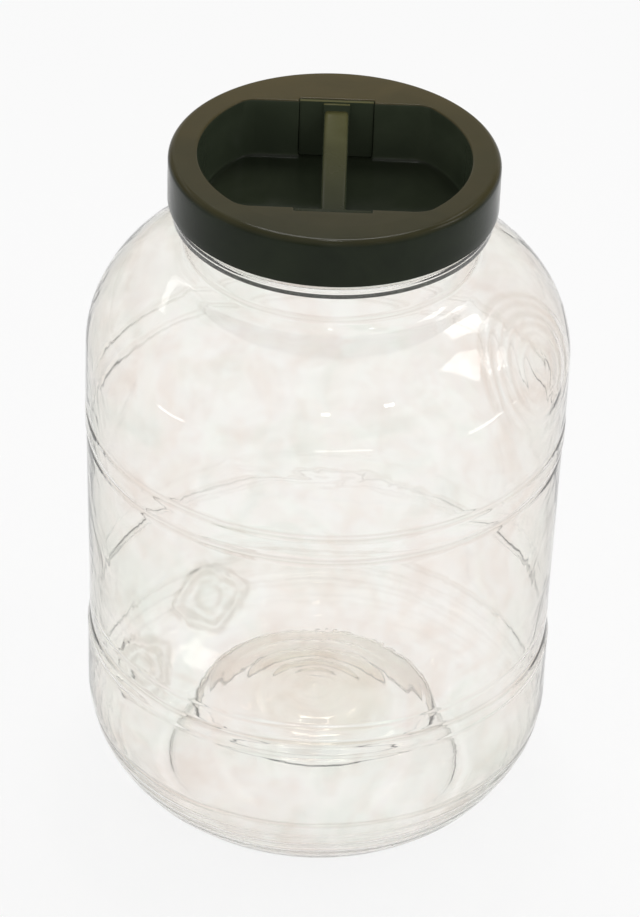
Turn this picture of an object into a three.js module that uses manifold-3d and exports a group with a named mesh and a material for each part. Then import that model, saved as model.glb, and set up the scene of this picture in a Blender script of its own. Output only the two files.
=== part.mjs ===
// Large clear storage jar with a screw lid. A bar across the deep well in the lid is its grip.
// Millimetres, +Z up. The origin is the middle of the jar's foot, on the surface it stands on.
import * as THREE from 'three';
import { mergeVertices } from 'three/addons/utils/BufferGeometryUtils.js';
import Module from 'manifold-3d';

const wasm = await Module();
wasm.setup();

// Gaps between pieces, how far a cut runs past the face that it opens, and round steps
const seatGap = 0.3;
const overrun = 1;
const weldDistance = 0.001;
const roundSteps = 48;

// Jar body, from the foot up
const bodyRadius = 106.3;
const bodyWall = 1.1;
const footWidth = 8;
const heelReach = 60;
const heelHeight = 50;
const heelTuck = 10;
const heelCurveShare = 1.13;
const heelBand = 33;
const panelStep = 0.9;
const panelStepHeight = 6;
const panelHeight = 101;
const panelFlare = 1.6;
const hoopWidth = 13;
const hoopRise = 1.3;
const hoopSlope = 2.4;
const upperBand = 31;
const upperRise = 1.1;
const shoulderTuck = 0.9;
const shoulderRise = 46.8;
const shoulderCurveShare = 1.07;
const shoulderTurn = THREE.MathUtils.degToRad(80);
const curveSteps = 6;

// Pushed-up base: a steep cone, then a plateau with rings that step up towards its middle
const plateauRadius = 55;
const plateauHeight = 34;
const plateauRound = 4;
const ringShares = [0.42, 0.62, 0.8];
const ringStep = 1.6;

// Screw lid
const lidRadius = 72;
const lidWall = 2.2;
const lidTopThickness = 2.4;
const skirtGap = 2.3;
const lidEdgeRound = 3.2;

// Neck and its finish, which fit inside the lid
const threadBand = 3.2;
const finishWall = 2;
const finishHeight = 20;
const rimRound = 0.7;
const neckInset = 2.4;
const neckLength = 13.9;
const supportRingInset = 2;
const supportRingThickness = 4.7;

// Screw thread: three starts, right hand
const threadStarts = 3;
const threadLead = 18;
const threadRise = 2.2;
const threadBury = 0.6;
const threadRootWidth = 2.6;
const threadCrestWidth = 1.2;
const threadTurn = THREE.MathUtils.degToRad(112.5);
const threadRimGap = 2.8;
const threadSteps = 15;
const threadFadeShare = 0.12;
const threadEndShare = 0.25;

// Sealing ring between the rim and the lid
const sealThickness = 1.6;
const sealWidth = 6.2;
const sealEdgeGap = 1.2;

// Hand well in the lid: a circle cut off by two straight walls, with a pocket in each of them
const wellBoreGap = 3.3;
const wellHalfWidth = 44.4;
const wellDepth = 28;
const wellWall = 2;
const wellDraft = 1.2;
const pocketWidth = 33;
const pocketDepth = 2.6;

// Grip bar with its end plates and risers
const barWidth = 10.8;
const barDrop = 4.2;
const barHeight = 7;
const barWall = 2;
const barRound = 1.8;
const plateThickness = 1.7;
const plateDrop = 0.4;
const riserThickness = 1.5;
const riserDrop = 1.1;
const riserLip = 0.4;

// Radii that follow from the sizes above
const skirtInnerRadius = lidRadius - lidWall;
const finishRadius = skirtInnerRadius - threadBand;
const boreRadius = finishRadius - finishWall;
const neckRadius = finishRadius - neckInset;
const supportRingRadius = lidRadius - supportRingInset;
const wellRadius = boreRadius - wellBoreGap - wellWall;
const upperRadius = bodyRadius + upperRise;
const shoulderReach = upperRadius - neckRadius + shoulderTuck;

// Heights that follow, from the foot up
const bumperHeight = heelHeight + heelBand;
const panelFoot = bumperHeight + panelStepHeight;
const hoopHeight = panelFoot + panelHeight;
const shoulderHeight = hoopHeight + hoopWidth + upperBand;
const heelCentre = at(bodyRadius - heelReach, heelHeight);
const heel = bulge(heelCentre, heelReach, -heelHeight - heelTuck, heelCurveShare);
const shoulderCentre = at(upperRadius - shoulderReach, shoulderHeight);
const shoulder = bulge(shoulderCentre, shoulderReach, shoulderRise, shoulderCurveShare);
const heelTurn = Math.asin((heelHeight / (heelHeight + heelTuck)) ** (1 / heelCurveShare));
const shoulderEnd = shoulder.pointAt(shoulderTurn);
const shoulderLean = shoulder.leanAt(shoulderTurn);
const neckRound = (shoulderEnd.x - neckRadius) / (1 - Math.cos(shoulderLean));
const neckRootHeight = shoulderEnd.y + neckRound * Math.sin(shoulderLean);
const supportRingHeight = neckRootHeight + neckLength;
const finishFoot = supportRingHeight + supportRingThickness;
const skirtFoot = finishFoot + skirtGap;
const rimHeight = finishFoot + finishHeight;
const sealHeight = rimHeight + seatGap;
const lidUnderside = sealHeight + sealThickness + seatGap;
const lidTop = lidUnderside + lidTopThickness;
const wellFloor = lidTop - wellDepth;
const plateFace = wellHalfWidth + pocketDepth - seatGap - plateThickness;

// Materials
const clearPlastic = new THREE.MeshStandardMaterial({
  color: '#e8e6e1', roughness: 0.08, metalness: 0, transparent: true, opacity: 0.35,
});
const lidPlastic = new THREE.MeshStandardMaterial({ color: '#3b3c28', roughness: 0.38, metalness: 0 });
const barPlastic = new THREE.MeshStandardMaterial({ color: '#4b4a31', roughness: 0.42, metalness: 0 });
const sealFoam = new THREE.MeshStandardMaterial({ color: '#e4e2da', roughness: 0.85, metalness: 0 });

// A closed geometry as a solid, with its faces turned outwards
function solidOf(geometry) {
  const bare = geometry.clone();
  bare.deleteAttribute('normal');
  bare.deleteAttribute('uv');
  const welded = mergeVertices(bare, weldDistance);
  const place = welded.attributes.position;
  const corner = (i) => new THREE.Vector3().fromBufferAttribute(place, i);
  const faces = [];
  let volume = 0;
  for (let i = 0; i < welded.index.count; i += 3) {
    const [a, b, c] = [0, 1, 2].map((k) => welded.index.getX(i + k));
    if (a !== b && b !== c && c !== a) {
      faces.push([a, b, c]);
      volume += corner(a).dot(corner(b).cross(corner(c)));
    }
  }
  const outward = volume < 0 ? faces.map(([a, b, c]) => [a, c, b]) : faces;
  return new wasm.Manifold(new wasm.Mesh({
    numProp: 3,
    vertProperties: new Float32Array(place.array),
    triVerts: new Uint32Array(outward.flat()),
  }));
}

function meshOf(name, solid, material) {
  const { vertProperties, triVerts } = solid.getMesh();
  const geometry = new THREE.BufferGeometry();
  geometry.setAttribute('position', new THREE.BufferAttribute(vertProperties, 3));
  geometry.setIndex(new THREE.BufferAttribute(triVerts, 1));
  geometry.computeVertexNormals();
  const mesh = new THREE.Mesh(geometry, material);
  mesh.name = name;
  return mesh;
}

function joined(solids) {
  return solids.reduce((whole, next) => whole.add(next));
}

function at(radius, height) {
  return new THREE.Vector2(radius, height);
}

// A profile of radii and heights, turned about the jar's axis
function turned(profile) {
  const geometry = new THREE.LatheGeometry(profile, roundSteps);
  geometry.rotateX(Math.PI / 2);
  return solidOf(geometry);
}

function closedProfile(points) {
  return [...points, points[0].clone()];
}

function box(width, depth, fromHeight, toHeight, y) {
  const height = toHeight - fromHeight;
  const geometry = new THREE.BoxGeometry(width, depth, height);
  geometry.translate(0, y, fromHeight + height / 2);
  return solidOf(geometry);
}

function arc(centreRadius, centreHeight, radius, fromAngle, toAngle, steps) {
  const points = [];
  for (let i = 0; i <= steps; i += 1) {
    const angle = fromAngle + (toAngle - fromAngle) * (i / steps);
    points.push(at(centreRadius + radius * Math.cos(angle), centreHeight + radius * Math.sin(angle)));
  }
  return points;
}

// A quarter of a superellipse round a centre. Its lean is the tilt of its outside from level
function bulge(centre, reach, rise, curveShare) {
  const pointAt = (turn) => at(
    centre.x + reach * Math.cos(turn) ** curveShare,
    centre.y + rise * Math.sin(turn) ** curveShare,
  );
  const leanAt = (turn) => Math.atan(reach / rise * Math.tan(turn) ** (2 - curveShare));
  const points = (fromTurn, toTurn) => {
    const stepTurn = (toTurn - fromTurn) / curveSteps;
    return Array.from({ length: curveSteps + 1 }, (_, i) => pointAt(fromTurn + i * stepTurn));
  };
  return { pointAt, leanAt, points };
}

// The same profile, moved by one wall to its left-hand side
function offset(profile, wall) {
  return profile.map((point, i) => {
    const ends = [profile[i - 1], point, profile[i + 1]].filter(Boolean);
    const sides = ends.slice(1).map((end, k) => {
      const along = end.clone().sub(ends[k]).normalize();
      return at(-along.y, along.x);
    });
    const [first, last] = [sides[0], sides[sides.length - 1]];
    const mitre = first.clone().add(last).divideScalar(1 + first.dot(last));
    return point.clone().addScaledVector(mitre, wall);
  });
}

// Outside of the pushed-up base, from its middle to the inner edge of the foot
function baseProfile(footInner) {
  const middleHeight = plateauHeight + ringShares.length * ringStep;
  const points = [at(0, middleHeight)];
  ringShares.forEach((share, i) => {
    const radius = share * plateauRadius;
    points.push(at(radius - ringStep / 2, middleHeight - i * ringStep));
    points.push(at(radius + ringStep / 2, middleHeight - (i + 1) * ringStep));
  });
  const edgeRadius = plateauRadius - plateauRound;
  points.push(...arc(edgeRadius, plateauHeight - plateauRound, plateauRound, Math.PI / 2, 0, 2));
  points.push(at(footInner, 0));
  return points;
}

// The flared panel and the hoop above it: up a slope, along its crest, and in to the wall above
function panelAndHoop() {
  const panelRadius = bodyRadius - panelStep;
  const crest = bodyRadius + hoopRise;
  return [
    at(bodyRadius, bumperHeight),
    at(panelRadius, panelFoot),
    at(panelRadius + panelFlare, hoopHeight),
    at(crest, hoopHeight + hoopSlope),
    at(crest, hoopHeight + hoopWidth - hoopSlope),
    at(upperRadius, hoopHeight + hoopWidth),
  ];
}

// Outside of the jar, from the middle of the base to the root of the neck
function bodyProfile() {
  const heelPoints = heel.points(heelTurn, 0);
  const shoulderPoints = shoulder.points(0, shoulderTurn);
  return [
    ...baseProfile(heelPoints[0].x - footWidth),
    ...heelPoints,
    ...panelAndHoop(),
    ...shoulderPoints.slice(0, -1),
    ...arc(neckRadius + neckRound, neckRootHeight, neckRound, Math.PI + shoulderLean, Math.PI, 3),
  ];
}

// Three equal helical ribs on a round wall. They stand out from it, or in from it if side is -1
function threadRibs(wallRadius, side, lowestHeight) {
  const section = new THREE.Shape([
    at(-threadBury, -threadRootWidth / 2),
    at(0, -threadRootWidth / 2),
    at(threadRise, -threadCrestWidth / 2),
    at(threadRise, threadCrestWidth / 2),
    at(0, threadRootWidth / 2),
    at(-threadBury, threadRootWidth / 2),
  ]);
  const ribs = [];
  for (let start = 0; start < threadStarts; start += 1) {
    const rib = new THREE.ExtrudeGeometry(section, { depth: 1, steps: threadSteps, bevelEnabled: false });
    const place = rib.attributes.position;
    for (let i = 0; i < place.count; i += 1) {
      const share = place.getZ(i);
      const fade = Math.min(1, Math.min(share, 1 - share) / threadFadeShare);
      const riseShare = threadEndShare + (1 - threadEndShare) * fade;
      const lift = Math.min(place.getX(i), place.getX(i) * riseShare);
      const radius = wallRadius + side * lift;
      const turn = share * threadTurn;
      const angle = turn + start * 2 * Math.PI / threadStarts;
      const height = lowestHeight + place.getY(i) + threadLead * turn / (2 * Math.PI);
      place.setXYZ(i, radius * Math.cos(angle), radius * Math.sin(angle), height);
    }
    ribs.push(solidOf(rib));
  }
  return ribs;
}

// The jar's thread ends below its rim. The lid's thread lies under it, one seat gap away
const jarThreadLowest = rimHeight - threadRimGap - threadRootWidth / 2
  - threadLead * threadTurn / (2 * Math.PI);
const threadSlope = (threadRootWidth - threadCrestWidth) / 2 / threadRise;
const lidThreadLowest = jarThreadLowest - (threadRootWidth - threadSlope * threadBand) - seatGap;

function makeJar() {
  const outside = bodyProfile();
  const inside = offset(outside, bodyWall).reverse();
  inside[inside.length - 1].x = 0;
  const finish = [
    at(neckRadius, supportRingHeight),
    at(supportRingRadius, supportRingHeight),
    at(supportRingRadius, finishFoot),
    at(finishRadius, finishFoot),
    ...arc(finishRadius - rimRound, rimHeight - rimRound, rimRound, 0, Math.PI / 2, 2),
    ...arc(boreRadius + rimRound, rimHeight - rimRound, rimRound, Math.PI / 2, Math.PI, 2),
    at(boreRadius, finishFoot),
    at(inside[0].x, supportRingHeight),
  ];
  const wall = turned([...outside, ...finish, ...inside]);
  return joined([wall, ...threadRibs(finishRadius, 1, jarThreadLowest)]);
}

function makeSealingRing() {
  const sealTop = sealHeight + sealThickness;
  const sealOuterRadius = skirtInnerRadius - sealEdgeGap;
  const sealInnerRadius = sealOuterRadius - sealWidth;
  return turned(closedProfile([
    at(sealInnerRadius, sealHeight),
    at(sealOuterRadius, sealHeight),
    at(sealOuterRadius, sealTop),
    at(sealInnerRadius, sealTop),
  ]));
}

// The well's outline at the lid's top, made wider by a wall all round
function wellOutline(wall) {
  const radius = wellRadius + wall;
  const corner = Math.asin((wellHalfWidth + wall) / radius);
  const outline = new THREE.Shape();
  outline.absarc(0, 0, radius, -corner, corner, false);
  outline.absarc(0, 0, radius, Math.PI - corner, Math.PI + corner, false);
  outline.closePath();
  return outline;
}

// The well as a solid that narrows downwards, with its two pockets
function wellSolid(wall, floor, top) {
  const settings = { depth: top - floor, bevelEnabled: false, curveSegments: roundSteps / 4 };
  const body = new THREE.ExtrudeGeometry(wellOutline(wall), settings);
  const place = body.attributes.position;
  for (let i = 0; i < place.count; i += 1) {
    const depth = lidTop - floor - place.getZ(i);
    const inset = wellDraft * Math.max(0, depth) / wellDepth;
    place.setX(i, place.getX(i) * (1 - inset / wellRadius));
    place.setY(i, place.getY(i) * (1 - inset / wellHalfWidth));
    place.setZ(i, floor + place.getZ(i));
  }
  const pocketReach = 2 * (wellHalfWidth + pocketDepth + wall);
  return solidOf(body).add(box(pocketWidth + 2 * wall, pocketReach, floor, top, 0));
}

function makeLid() {
  const shell = turned([
    at(0, lidUnderside),
    at(skirtInnerRadius, lidUnderside),
    at(skirtInnerRadius, skirtFoot),
    at(lidRadius, skirtFoot),
    ...arc(lidRadius - lidEdgeRound, lidTop - lidEdgeRound, lidEdgeRound, 0, Math.PI / 2, 4),
    at(0, lidTop),
  ]);
  const wellShell = wellSolid(wellWall, wellFloor - wellWall, lidTop - lidTopThickness / 2);
  const hollow = wellSolid(0, wellFloor, lidTop + overrun);
  const threads = threadRibs(skirtInnerRadius, -1, lidThreadLowest);
  return joined([shell, wellShell, ...threads]).subtract(hollow);
}

// The grip: a bar with a channel beneath, between two plates that stand in the well's pockets
function makeGripHandle() {
  const barTop = lidTop - barDrop;
  const barFoot = barTop - barHeight;
  const half = barWidth / 2;
  const crown = new THREE.Shape();
  crown.moveTo(-half, barFoot);
  crown.lineTo(-half + barWall, barFoot);
  crown.lineTo(-half + barWall, barTop - barWall);
  crown.lineTo(half - barWall, barTop - barWall);
  crown.lineTo(half - barWall, barFoot);
  crown.lineTo(half, barFoot);
  crown.absarc(half - barRound, barTop - barRound, barRound, 0, Math.PI / 2, false);
  crown.absarc(-half + barRound, barTop - barRound, barRound, Math.PI / 2, Math.PI, false);
  crown.closePath();
  const barLength = 2 * plateFace + plateThickness;
  const bar = new THREE.ExtrudeGeometry(crown, { depth: barLength, bevelEnabled: false, curveSegments: 4 });
  bar.translate(0, 0, -barLength / 2);
  bar.rotateX(Math.PI / 2);
  const plateWidth = pocketWidth - 2 * seatGap;
  const plateFoot = wellFloor + seatGap;
  const riserWidth = barWidth + 2 * riserLip;
  const riserDepth = riserThickness + plateThickness / 2;
  const pieces = [solidOf(bar)];
  for (const side of [-1, 1]) {
    const plateMiddle = side * (plateFace + plateThickness / 2);
    const riserMiddle = side * (plateFace + plateThickness / 2 - riserDepth / 2);
    pieces.push(box(plateWidth, plateThickness, plateFoot, lidTop - plateDrop, plateMiddle));
    pieces.push(box(riserWidth, riserDepth, barFoot - riserLip, lidTop - riserDrop, riserMiddle));
  }
  return joined(pieces);
}

const storageJar = new THREE.Group();
storageJar.name = 'storage_jar';
storageJar.add(meshOf('jar', makeJar(), clearPlastic));
storageJar.add(meshOf('sealing_ring', makeSealingRing(), sealFoam));

const lidGroup = new THREE.Group();
lidGroup.name = 'lid_group';
lidGroup.add(meshOf('screw_lid', makeLid(), lidPlastic));
lidGroup.add(meshOf('grip_handle', makeGripHandle(), barPlastic));
storageJar.add(lidGroup);

export default storageJar;
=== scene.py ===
import math
import bmesh
import bpy
import numpy as np
from mathutils import Matrix, Vector


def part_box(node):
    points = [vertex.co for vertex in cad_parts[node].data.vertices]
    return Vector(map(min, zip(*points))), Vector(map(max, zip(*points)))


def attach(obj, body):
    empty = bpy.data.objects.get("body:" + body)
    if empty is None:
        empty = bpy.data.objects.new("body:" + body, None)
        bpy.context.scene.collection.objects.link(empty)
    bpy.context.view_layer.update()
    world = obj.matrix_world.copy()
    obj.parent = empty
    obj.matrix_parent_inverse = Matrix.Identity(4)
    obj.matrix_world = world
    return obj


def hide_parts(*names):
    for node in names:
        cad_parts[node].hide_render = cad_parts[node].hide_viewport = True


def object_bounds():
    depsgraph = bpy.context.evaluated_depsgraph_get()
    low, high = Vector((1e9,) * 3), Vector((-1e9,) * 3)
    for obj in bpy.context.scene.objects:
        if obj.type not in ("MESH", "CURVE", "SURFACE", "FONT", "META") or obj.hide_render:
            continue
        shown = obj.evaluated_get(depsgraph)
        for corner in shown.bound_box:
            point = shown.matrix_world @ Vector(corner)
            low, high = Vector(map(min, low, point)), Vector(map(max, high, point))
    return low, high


# A large clear jar with a screw lid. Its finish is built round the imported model.
# Sizes are in millimetres. They become metres where meshes, nodes, camera, lamps and floor are made.
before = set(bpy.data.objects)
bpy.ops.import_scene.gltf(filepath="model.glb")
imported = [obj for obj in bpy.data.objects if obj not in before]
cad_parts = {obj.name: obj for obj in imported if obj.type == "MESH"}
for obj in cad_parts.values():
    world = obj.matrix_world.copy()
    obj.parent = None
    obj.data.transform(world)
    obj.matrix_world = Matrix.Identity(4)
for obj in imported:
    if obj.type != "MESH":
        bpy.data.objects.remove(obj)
cad_low, cad_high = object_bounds()
MM = 0.001


def top_of(node):
    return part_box(node)[1].z / MM


def foot_of(node):
    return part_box(node)[0].z / MM


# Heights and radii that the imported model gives
RIM_HEIGHT = top_of("jar")
LID_TOP = top_of("screw_lid")
SEAL_LOW = foot_of("sealing_ring")
SEAL_HIGH = top_of("sealing_ring")
LID_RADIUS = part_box("screw_lid")[1].x / MM
SEAL_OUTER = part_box("sealing_ring")[1].x / MM
BOX_MARGIN = 0.02
LARGEST_RADIUS = cad_high.x / MM - BOX_MARGIN

# Jar body
BODY_RADIUS = 106.3
BODY_WALL = 1.1
FOOT_WIDTH = 8
HEEL_REACH = 60
HEEL_HEIGHT = 50
HEEL_DROP = 60
HEEL_POWER = 1.13
BUMPER_HEIGHT = 83
PANEL_STEP = 0.9
PANEL_FOOT = 89
PANEL_FLARE = 1.6
HOOP_HEIGHT = 190
HOOP_WIDTH = 13
HOOP_RISE = 1.25
HOOP_SLOPE = 2.4
UPPER_RADIUS = 107.4
SHOULDER_HEIGHT = 234
SHOULDER_REACH = 44.1
SHOULDER_RISE = 46.8
SHOULDER_POWER = 1.07
SHOULDER_TURN = math.radians(80)

# Pushed-up base
PLATEAU_RADIUS = 55
PLATEAU_HEIGHT = 34
PLATEAU_ROUND = 4
RING_RADII = (23, 34, 44)
RING_STEP = 1.6
FINE_RINGS = (6, 12, 17)
FINE_RING_RISE = 0.22
FINE_RING_WIDTH = 1.4

# Neck and finish
NECK_RADIUS = 64.2
RING_RADIUS = 70
RING_THICKNESS = 4.7
FINISH_HEIGHT = 20
FINISH_RADIUS = 66.6
BORE_RADIUS = 64.6
RIM_ROUND = 0.7

# Screw thread on the finish, and the one under it in the lid
THREAD_STARTS = 3
THREAD_LEAD = 18
THREAD_RISE = 2.1
THREAD_ROOT = 2.3
THREAD_CREST = 1.0
THREAD_TURN = math.radians(112.5)
THREAD_FADE = math.radians(13)
THREAD_RIM_GAP = 2.8
THREAD_CUT = 2.6
THREAD_CUT_CREST = 1.2
THREAD_CUT_DEPTH = 2.2
SEAT_GAP = 0.3

# Lid
SKIRT_INNER = 69.8
SKIRT_FOOT_GAP = 2.3
LID_TOP_THICKNESS = 2.4
LID_EDGE_ROUND = 3.2
FOOT_ROUND = 0.5
WELL_RADIUS = 59.3
WELL_HALF_WIDTH = 44.4
WELL_DEPTH = 28
WELL_WALL = 2
WELL_DRAFT = 1.2
WELL_MOUTH_ROUND = 0.9
WELL_FLOOR_ROUND = 2
WELL_CORNER = 2.5
POCKET_WIDTH = 33
POCKET_DEPTH = 2.6
POCKET_CORNER = 0.7
POCKET_MOUTH = 0.5

# Liner and grip
SEAL_WIDTH = 6.2
SEAL_ROUND = 0.5
GRIP_EDGE_ROUND = 0.5
GRIP_MERGE = 0.002
GRIP_FLAT_ANGLE = math.radians(1)
GRIP_SHARP_ANGLE = math.radians(30)
GRIP_ROUND_SEGMENTS = 3

# Heights worked out from these
RING_HEIGHT = RIM_HEIGHT - FINISH_HEIGHT - RING_THICKNESS
FINISH_FOOT = RIM_HEIGHT - FINISH_HEIGHT
SKIRT_FOOT = FINISH_FOOT + SKIRT_FOOT_GAP
LID_UNDERSIDE = LID_TOP - LID_TOP_THICKNESS
WELL_FLOOR = LID_TOP - WELL_DEPTH
JAR_THREAD_LOWEST = (RIM_HEIGHT - THREAD_RIM_GAP - THREAD_CUT / 2
                     - THREAD_LEAD * THREAD_TURN / (2 * math.pi))
THREAD_FLANK = (THREAD_CUT - THREAD_CUT_CREST) / 2 / THREAD_CUT_DEPTH
LID_THREAD_LOWEST = (JAR_THREAD_LOWEST - (THREAD_CUT - THREAD_FLANK * (SKIRT_INNER - FINISH_RADIUS))
                     - SEAT_GAP)

# Parts of the jar's profile that are treated apart: the base, the wall, its reliefs and its thread
BASE_TOP = PLATEAU_HEIGHT + 9
WALL_FROM_RADIUS = 80
RELIEF_TOP = RING_HEIGHT - 12
NECK_FROM = RING_HEIGHT - 1
THREAD_WALL_FOOT = FINISH_FOOT + 0.5
THREAD_WALL_TOP = RIM_HEIGHT - 1

# How far the corners of the jar's profile are rounded
NECK_REACH = 0.15
OUTER_REACH = 0.5
PLATEAU_REACH = 1.9
INNER_REACH = 1.4
BLUR_WIDTHS = 3

# Roundel on the shoulder: its angle and height, and its rings as (radius, rise)
ROUNDEL = (math.radians(-26), 254)
ROUNDEL_RINGS = ((13, 0.6), (22, 0.9), (32, 0.9))
ROUNDEL_WIDTH = 3.0
# The roundel's lower part fades: where, over what length, and how much of it
ROUNDEL_FADE_START = -13
ROUNDEL_FADE_LENGTH = 6
ROUNDEL_FADE_SHARE = 0.8

# Lozenges on the heel, each with a round boss: their angles and heights, and their sizes
LOZENGES = ((math.radians(123), 28), (math.radians(155), 16))
LOZENGE_REACH = (19, 15)
LOZENGE_POWER = 1.25
LOZENGE_RISE = 1.45
LOZENGE_WIDTH = 2.7
LOZENGE_END = 2 * LOZENGE_REACH[0]
BOSS_RADIUS = 6.5
BOSS_EDGE = 1.0

# Fine lines round the wall: height, width and rise
WALL_LINES = (
    (14.5, 1.6, 0.25), (21.5, 1.5, 0.25), (28.5, 1.4, 0.3), (35, 1.4, 0.3), (43, 1.1, -0.4),
    (83, 1.2, 0.25), (89.5, 1.2, -0.42), (100, 1.2, 0.2), (190.5, 1.4, -0.42), (203.5, 1.4, -0.4),
    (287, 0.9, 0.3),
)
# Swells of a blown wall: waves round the jar, mm of height for each radian, phase and rise
SWELLS = ((3, 38, 0.4, 0.16), (5, -24, 1.3, 0.1), (8, 31, 2.1, 0.07), (13, -19, 0.2, 0.045),
          (2, 12, 2.7, 0.05))
SWELL_FADE_RADIUS = 15
SWELL_FADE_HEIGHT = 12
RELIEF_FADE_HEIGHT = 6
INNER_RELIEF_SHARE = 0.72

# How finely surfaces are cut
JAR_SEGMENTS = 440
LONG_STEP = 2.6
RELIEF_STEP = 1.5
RELIEF_MARGIN = 5
RING_ROW_STEP = 0.8
LINE_STEP = 0.55
LINE_SPAN = 2.4
THREAD_STEP = 0.6
DENSE_STEP = 0.2
TURN_PER_STEP = math.radians(7)
CORNER_STEPS = 4
CURVE_STEPS = 24
ROOT_STEPS = 10
LID_SEGMENTS = 300
WELL_CORNER_TURNS = np.radians(np.linspace(-3, 3, 13))
POCKET_TURNS = 22
POCKET_TURN_MARGIN = 0.012
LEAST_TURN = 4e-4
TURN_DECIMALS = 5
OUTLINE_NEAREST = 20
OUTLINE_FARTHEST = 75
OUTLINE_HALVINGS = 40
QUARTER = np.linspace(0, math.pi / 2, 6)
EDGE_QUARTER = np.linspace(0, math.pi / 2, 11)
FLOOR_SHARES = (0.05, 0.35, 0.7, 0.92)
RIM_SHARES = (0.12, 0.5, 0.88)
WELL_WALL_ROWS = 9
SHELL_ROWS = 6
SKIRT_ROWS = 6
SKIRT_CORNER = 0.3
THREAD_ROWS_FOOT = 0.4
THREAD_ROWS_TOP = 0.6
THREAD_ROW_STEP = 0.5
SEAL_SEGMENTS = 200
JAR_SMOOTH_ANGLE = math.radians(50)
LID_SMOOTH_ANGLE = math.radians(35)
SMOOTH_ANGLE = math.radians(40)


def arc(centre, radius, start, end, steps):
    """Points (radius, height) of an arc about a centre, with angles from the level outward line."""
    angles = np.linspace(start, end, steps + 1)
    return [(centre[0] + radius * math.cos(a), centre[1] + radius * math.sin(a)) for a in angles]


def superellipse(centre, reach, rise, power, start, end):
    """Points of a quarter of a superellipse. At a power of 1 it is an ellipse."""
    angles = np.linspace(start, end, CURVE_STEPS + 1)
    return [(centre[0] + reach * math.cos(a) ** power, centre[1] + rise * math.sin(a) ** power)
            for a in angles]


def circle(turns, radius, height):
    return np.stack([radius * np.cos(turns), radius * np.sin(turns), np.full(len(turns), height)], axis=1)


def base_profile():
    """Underside of the pushed-up base, from the middle out to its rounded edge."""
    middle = PLATEAU_HEIGHT + len(RING_RADII) * RING_STEP
    points = [(0, middle)]
    for i, radius in enumerate(RING_RADII):
        points.append((radius - RING_STEP / 2, middle - i * RING_STEP))
        points.append((radius + RING_STEP / 2, middle - (i + 1) * RING_STEP))
    edge = (PLATEAU_RADIUS - PLATEAU_ROUND, PLATEAU_HEIGHT - PLATEAU_ROUND)
    return points + arc(edge, PLATEAU_ROUND, math.pi / 2, 0, CORNER_STEPS)


def wall_profile():
    """Outside of the jar's wall, from the outer edge of the foot up to the root of the neck."""
    heel_turn = math.asin((HEEL_HEIGHT / HEEL_DROP) ** (1 / HEEL_POWER))
    points = superellipse((BODY_RADIUS - HEEL_REACH, HEEL_HEIGHT), HEEL_REACH, -HEEL_DROP,
                          HEEL_POWER, heel_turn, 0)
    panel = BODY_RADIUS - PANEL_STEP
    crest = BODY_RADIUS + HOOP_RISE
    points += [
        (BODY_RADIUS, BUMPER_HEIGHT),
        (panel, PANEL_FOOT),
        (panel + PANEL_FLARE, HOOP_HEIGHT),
        (crest, HOOP_HEIGHT + HOOP_SLOPE),
        (crest, HOOP_HEIGHT + HOOP_WIDTH - HOOP_SLOPE),
        (UPPER_RADIUS, HOOP_HEIGHT + HOOP_WIDTH),
    ]
    points += superellipse((UPPER_RADIUS - SHOULDER_REACH, SHOULDER_HEIGHT), SHOULDER_REACH,
                           SHOULDER_RISE, SHOULDER_POWER, 0, SHOULDER_TURN)
    end, before = points[-1], points[-2]
    lean = math.atan2(before[0] - end[0], end[1] - before[1])
    root_round = (end[0] - NECK_RADIUS) / (1 - math.cos(lean))
    root = (NECK_RADIUS + root_round, end[1] + root_round * math.sin(lean))
    return points + arc(root, root_round, math.pi + lean, math.pi, ROOT_STEPS)[1:]


def finish_profile(bore_foot):
    """Neck ring, threaded wall and rim, and over the rim down to the foot of the bore."""
    outer_round = (FINISH_RADIUS - RIM_ROUND, RIM_HEIGHT - RIM_ROUND)
    inner_round = (BORE_RADIUS + RIM_ROUND, RIM_HEIGHT - RIM_ROUND)
    return [
        (NECK_RADIUS, RING_HEIGHT),
        (RING_RADIUS, RING_HEIGHT),
        (RING_RADIUS, FINISH_FOOT),
        (FINISH_RADIUS, FINISH_FOOT),
        *arc(outer_round, RIM_ROUND, 0, math.pi / 2, CORNER_STEPS),
        *arc(inner_round, RIM_ROUND, math.pi / 2, math.pi, CORNER_STEPS),
        (BORE_RADIUS, FINISH_FOOT),
        (bore_foot, RING_HEIGHT),
    ]


def jar_profile():
    """The jar's whole profile cut finely, and the way out of the plastic at each of its points."""
    wall = wall_profile()
    outside = base_profile() + [(wall[0][0] - FOOT_WIDTH, 0)] + wall
    inside = offset(outside, BODY_WALL)[::-1]
    fine = smoothed(outside + finish_profile(inside[0][0]) + inside)
    fine[:, 1] = np.clip(fine[:, 1], 0, RIM_HEIGHT)
    along = np.gradient(fine, axis=0)
    along /= np.linalg.norm(along, axis=1)[:, None]
    return fine, np.stack([along[:, 1], -along[:, 0]], axis=1)


def offset(points, distance):
    """The profile moved to its left-hand side."""
    p = np.array(points, float)
    along = np.diff(p, axis=0)
    along /= np.linalg.norm(along, axis=1)[:, None]
    side = np.stack([-along[:, 1], along[:, 0]], axis=1)
    first = np.vstack([side[:1], side])
    last = np.vstack([side, side[-1:]])
    mitre = (first + last) / (1 + (first * last).sum(axis=1))[:, None]
    return [tuple(q) for q in p + distance * mitre]


def corner_reach(point, share):
    """How far a corner is rounded: little on the neck, more on the wall, and most on the base."""
    radius, height = point
    if height > NECK_FROM:
        return NECK_REACH
    if radius < PLATEAU_RADIUS - PLATEAU_ROUND and height < BASE_TOP:
        return PLATEAU_REACH
    return OUTER_REACH if share < 0.5 else INNER_REACH


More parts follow.
